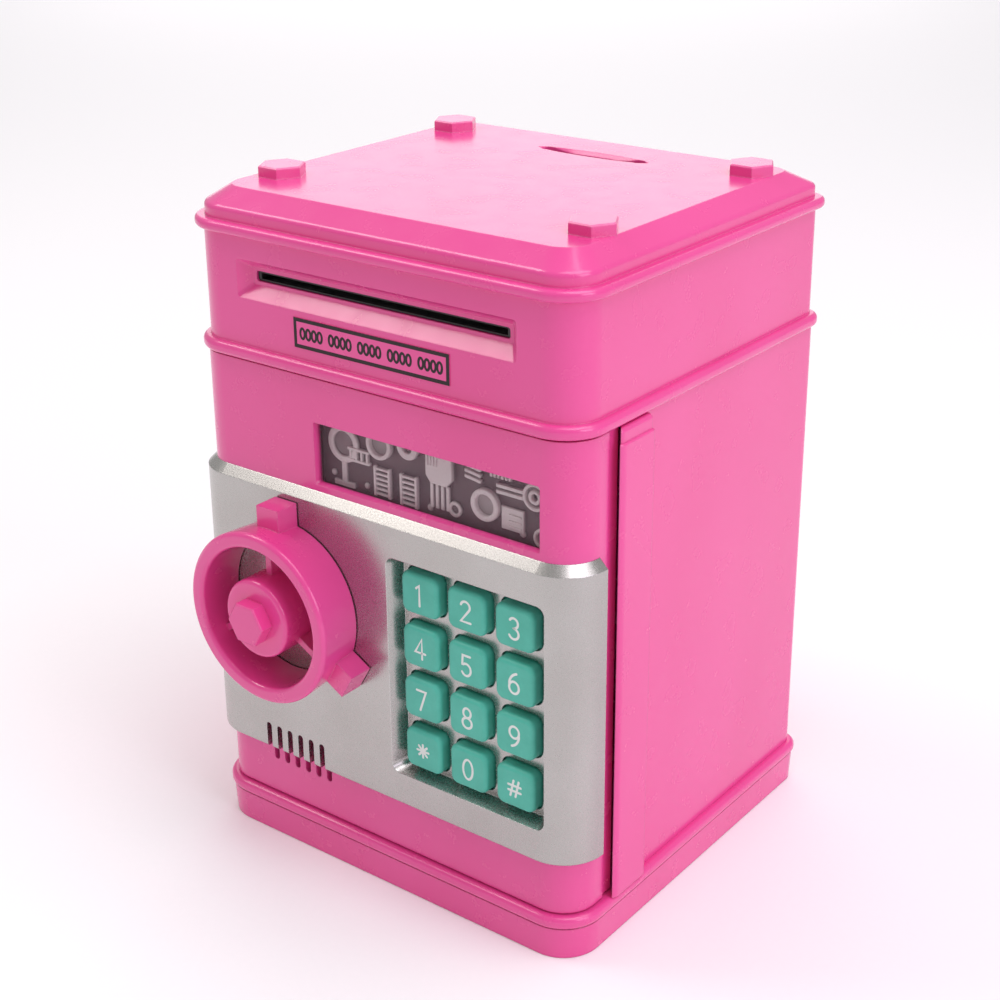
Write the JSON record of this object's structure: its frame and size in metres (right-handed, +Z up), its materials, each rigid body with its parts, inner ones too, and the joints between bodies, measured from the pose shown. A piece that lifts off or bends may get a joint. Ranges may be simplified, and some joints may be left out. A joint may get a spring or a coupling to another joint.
{
  "type": "toy safe coin bank",
  "caption": "Toy safe money bank with a hinged door, keypad, dial wheel, front note slot with a roller feed, coin slot in the lid and a cash space inside.",
  "frame": {"origin": "centre of the flat underside of the base", "axes": "+Z up; -Y is the front with the door, keypad and dial; +X is to the right of a person facing the door, on the hinge side"},
  "size_m": [0.13, 0.1376, 0.19],
  "materials": {
    "pink_shell": "satin moulded ABS",
    "silver_plate": "satin silver paint on plastic",
    "teal_key": "matt silicone rubber, white numerals",
    "black_plastic": "matt",
    "clear_window": "clear polystyrene",
    "grey_relief": "printed and moulded card",
    "label_print": "printed film",
    "white_plastic": "matt",
    "steel": "zinc plated",
    "roller_rubber": "matt",
    "gear_nylon": "natural acetal",
    "board_green": "solder mask",
    "membrane": "matt silicone",
    "cell_jacket": "shrink sleeve",
    "brass_contact": "plated spring strip"
  },
  "bodies": {
    "cabinet": {"base_plinth": "pink_shell", "base_screws": "steel", "cabinet_shell": "pink_shell", "hinge_cover": "pink_shell", "head_housing": "pink_shell", "top_cover": "pink_shell", "deck_plate": "white_plastic", "deck_screws": "steel", "coin_chute": "white_plastic", "bill_slot_liner": "black_plastic", "counter_label": "label_print", "feed_frame": "white_plastic", "bill_top_guide": "white_plastic", "bill_sensor": "board_green", "feed_motor": "steel", "motor_bracket": "steel", "battery_box": "white_plastic", "battery_cells": "cell_jacket", "battery_contacts": "brass_contact"},
    "drive_roller": {"drive_shaft": "steel", "drive_rollers": "roller_rubber", "drive_gear": "gear_nylon"},
    "idler_roller": {"idler_shaft": "steel", "idler_rollers": "roller_rubber"},
    "motor_rotor": {"motor_pinion": "gear_nylon"},
    "battery_lid": {"battery_cover": "pink_shell", "battery_screw": "steel"},
    "door": {"door_panel": "pink_shell", "hinge_pins": "steel", "faceplate": "silver_plate", "window_lens": "clear_window", "window_relief": "grey_relief", "keypad_membrane": "membrane", "control_board": "board_green", "board_parts": "black_plastic", "speaker": "black_plastic", "door_inner_cover": "white_plastic", "door_screws": "steel", "latch_cover": "steel", "lock_solenoid": "steel", "plunger_spring": "steel"},
    "dial": {"dial_wheel": "pink_shell", "dial_cap": "pink_shell", "dial_spindle": "steel", "latch_pinion": "gear_nylon"},
    "bolt": {"latch_bolt": "gear_nylon"},
    "plunger": {"lock_plunger": "steel"},
    "button_1": {"key_1": "teal_key"},
    "button_2": {"key_2": "teal_key"},
    "button_3": {"key_3": "teal_key"},
    "button_4": {"key_4": "teal_key"},
    "button_5": {"key_5": "teal_key"},
    "button_6": {"key_6": "teal_key"},
    "button_7": {"key_7": "teal_key"},
    "button_8": {"key_8": "teal_key"},
    "button_9": {"key_9": "teal_key"},
    "button_star": {"key_star": "teal_key"},
    "button_0": {"key_0": "teal_key"},
    "button_hash": {"key_hash": "teal_key"}
  },
  "joints": [
    {"name": "door_hinge", "type": "hinge", "parent": "cabinet", "child": "door", "pos_m": [0.0525, -0.0475, 0.078], "axis": [0, 0, 1], "range_deg": [0, 100]},
    {"name": "dial_turn", "type": "hinge", "parent": "door", "child": "dial", "pos_m": [-0.0285, -0.067, 0.0785], "axis": [0, -1, 0], "range_deg": [0, 90]},
    {"name": "bolt_slide", "type": "slide", "parent": "door", "child": "bolt", "axis": [1, 0, 0], "range_m": [0, 0.00693]},
    {"name": "plunger_slide", "type": "slide", "parent": "door", "child": "plunger", "axis": [0, 0, 1], "range_m": [0, 0.0032], "stiffness_N_per_m": 80, "deforming": ["plunger_spring"]},
    {"name": "drive_spin", "type": "hinge", "parent": "cabinet", "child": "drive_roller", "pos_m": [0, -0.035, 0.159], "axis": [1, 0, 0], "continuous": true},
    {"name": "motor_spin", "type": "hinge", "parent": "cabinet", "child": "motor_rotor", "pos_m": [0.046, -0.02211, 0.1524], "axis": [1, 0, 0], "continuous": true},
    {"name": "idler_spin", "type": "hinge", "parent": "cabinet", "child": "idler_roller", "pos_m": [0, -0.035, 0.1705], "axis": [1, 0, 0], "continuous": true},
    {"name": "battery_cover_pull", "type": "slide", "parent": "cabinet", "child": "battery_lid", "axis": [0, 1, 0], "range_m": [0, 0.03]},
    {"name": "press_1", "type": "slide", "parent": "door", "child": "button_1", "axis": [0, 1, 0], "range_m": [0, 0.001], "stiffness_N_per_m": 400},
    {"name": "press_2", "type": "slide", "parent": "door", "child": "button_2", "axis": [0, 1, 0], "range_m": [0, 0.001], "stiffness_N_per_m": 400},
    {"name": "press_3", "type": "slide", "parent": "door", "child": "button_3", "axis": [0, 1, 0], "range_m": [0, 0.001], "stiffness_N_per_m": 400},
    {"name": "press_4", "type": "slide", "parent": "door", "child": "button_4", "axis": [0, 1, 0], "range_m": [0, 0.001], "stiffness_N_per_m": 400},
    {"name": "press_5", "type": "slide", "parent": "door", "child": "button_5", "axis": [0, 1, 0], "range_m": [0, 0.001], "stiffness_N_per_m": 400},
    {"name": "press_6", "type": "slide", "parent": "door", "child": "button_6", "axis": [0, 1, 0], "range_m": [0, 0.001], "stiffness_N_per_m": 400},
    {"name": "press_7", "type": "slide", "parent": "door", "child": "button_7", "axis": [0, 1, 0], "range_m": [0, 0.001], "stiffness_N_per_m": 400},
    {"name": "press_8", "type": "slide", "parent": "door", "child": "button_8", "axis": [0, 1, 0], "range_m": [0, 0.001], "stiffness_N_per_m": 400},
    {"name": "press_9", "type": "slide", "parent": "door", "child": "button_9", "axis": [0, 1, 0], "range_m": [0, 0.001], "stiffness_N_per_m": 400},
    {"name": "press_star", "type": "slide", "parent": "door", "child": "button_star", "axis": [0, 1, 0], "range_m": [0, 0.001], "stiffness_N_per_m": 400},
    {"name": "press_0", "type": "slide", "parent": "door", "child": "button_0", "axis": [0, 1, 0], "range_m": [0, 0.001], "stiffness_N_per_m": 400},
    {"name": "press_hash", "type": "slide", "parent": "door", "child": "button_hash", "axis": [0, 1, 0], "range_m": [0, 0.001], "stiffness_N_per_m": 400}
  ],
  "couplings": [
    {"joint": "bolt_slide", "follows": "dial_turn", "m_per_rad": 0.0044},
    {"joint": "motor_spin", "follows": "drive_spin", "ratio": -2.6}
  ]
}
